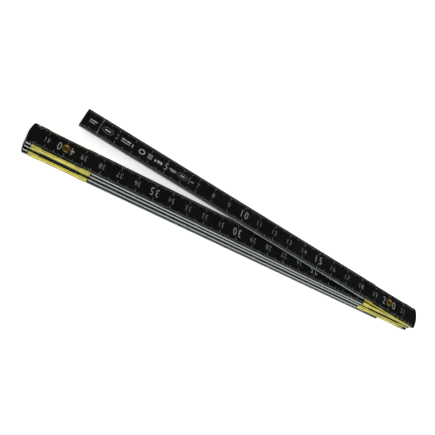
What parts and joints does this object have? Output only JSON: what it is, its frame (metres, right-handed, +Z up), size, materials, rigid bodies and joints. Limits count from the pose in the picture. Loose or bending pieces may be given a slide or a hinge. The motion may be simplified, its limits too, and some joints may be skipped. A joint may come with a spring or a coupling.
{
  "type": "folding rule",
  "caption": "Folding rule: flat black metal sections joined by riveted brass spring joints, folded with the first section slightly open",
  "frame": {"origin": "on the underside of the last section, on its centre line, half way between its rivet mark and its free end", "axes": "+X along the last section towards its free end, +Z up out of its underside, +Y across it"},
  "size_m": [0.24, 0.0402, 0.0124],
  "materials": {
    "black_paint": "black satin coating on both faces, bare bright metal along the edges",
    "brass": "pressed, semi-bright",
    "spring_steel": "satin",
    "scale_ink": "matt off-white print: the graduations and numerals, which have no solid of their own"
  },
  "bodies": {
    "last_section": {"section_5": "black_paint", "hinge_plate_lower_80": "brass", "rivet_80": "brass", "spring_washer_80": "spring_steel"},
    "fourth_section": {"section_4": "black_paint", "hinge_plate_upper_80": "brass", "hinge_plate_lower_60": "brass", "rivet_60": "brass", "spring_washer_60": "spring_steel"},
    "third_section": {"section_3": "black_paint", "hinge_plate_upper_60": "brass", "hinge_plate_lower_40": "brass", "rivet_40": "brass", "spring_washer_40": "spring_steel"},
    "second_section": {"section_2": "black_paint", "hinge_plate_upper_40": "brass", "hinge_plate_lower_20": "brass", "rivet_20": "brass", "spring_washer_20": "spring_steel"},
    "first_section": {"section_1": "black_paint", "hinge_plate_upper_20": "brass"}
  },
  "joints": [
    {"name": "fold_80", "type": "hinge", "parent": "last_section", "child": "fourth_section", "pos_m": [-0.1, 0, 0], "axis": [0, 0, -1], "range_deg": [-0.17, 179.83]},
    {"name": "fold_60", "type": "hinge", "parent": "fourth_section", "child": "third_section", "pos_m": [0.1, -0.00059, 0], "axis": [0, 0, -1], "range_deg": [-0.1, 179.9]},
    {"name": "fold_40", "type": "hinge", "parent": "third_section", "child": "second_section", "pos_m": [-0.1, 0.00035, 0], "axis": [0, 0, -1], "range_deg": [-0.17, 179.83]},
    {"name": "fold_20", "type": "hinge", "parent": "second_section", "child": "first_section", "pos_m": [0.1, -0.00119, 0], "axis": [0, 0, -1], "range_deg": [-6.6, 173.4]}
  ]
}
